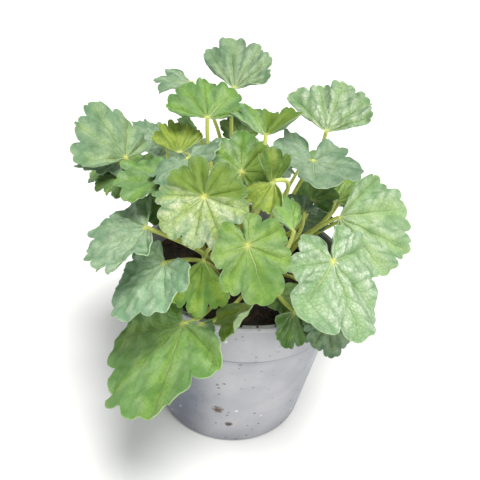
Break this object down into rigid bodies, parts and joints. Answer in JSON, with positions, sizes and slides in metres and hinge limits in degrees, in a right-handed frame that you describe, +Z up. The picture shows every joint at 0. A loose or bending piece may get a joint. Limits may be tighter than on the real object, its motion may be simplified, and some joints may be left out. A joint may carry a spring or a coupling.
{
  "type": "potted coral bells plant",
  "caption": "Coral bells plant with a mound of lobed, ruffled, silver-marked leaves on thin stalks, rooted in soil in a tapering plastic nursery pot.",
  "frame": {"origin": "centre of the pot's base, on the surface the pot stands on", "axes": "+Z up, front of the plant towards -Y, +X to the right seen from the front"},
  "size_m": [0.1826, 0.2152, 0.211],
  "materials": {
    "pot_plastic": "thin light grey polypropylene, slightly dirty",
    "soil": "dark damp bark and peat potting soil",
    "crown_wood": "rough brown woody crown",
    "leaf_green": "soft matt mid green leaf",
    "leaf_blue": "soft matt blue-green leaf",
    "leaf_silver": "soft leaf with a silver net between the veins",
    "leaf_bright": "soft bright yellow-green leaf",
    "leaf_young": "young yellow leaf"
  },
  "bodies": {
    "root": {"pot": "pot_plastic", "soil": "soil", "crown": "crown_wood", "front_low_left": "leaf_green", "left_front_grey": "leaf_blue", "left_outer_grey": "leaf_blue", "center_left_mottled": "leaf_silver", "inner_dark": "leaf_green", "center_bright": "leaf_bright", "right_large": "leaf_silver", "right_outer": "leaf_silver", "right_upper_wide": "leaf_blue", "top_right": "leaf_silver", "top_mid_right": "leaf_green", "center_top": "leaf_bright", "center_right_small": "leaf_bright", "top_center_left": "leaf_green", "top_leaf": "leaf_blue", "top_left_small": "leaf_blue", "left_upper": "leaf_blue", "left_mid": "leaf_green", "left_center_blue": "leaf_blue", "left_young": "leaf_young", "lower_center": "leaf_bright", "right_back_pale": "leaf_silver", "right_fold": "leaf_bright", "right_inner_dark": "leaf_green", "center_right_dark": "leaf_blue", "right_under_blue": "leaf_blue", "low_small_pale": "leaf_silver", "front_curl": "leaf_young", "right_low_dark": "leaf_green", "right_low_mid": "leaf_green", "right_low_outer": "leaf_blue", "behind_left_grey": "leaf_blue", "dark_behind_left": "leaf_green", "dark_top_mid": "leaf_green", "left_under_blue": "leaf_blue", "left_low_dark": "leaf_green", "left_under_mid": "leaf_green", "center_young": "leaf_young", "center_young_fold": "leaf_green", "back_left_high": "leaf_blue", "back_left_low": "leaf_green", "back_mid_high": "leaf_silver", "back_mid_low": "leaf_blue", "back_right_high": "leaf_green", "back_right_low": "leaf_blue", "side_right": "leaf_green", "side_left": "leaf_green", "side_right_low": "leaf_blue", "side_left_low": "leaf_silver"}
  },
  "joints": []
}
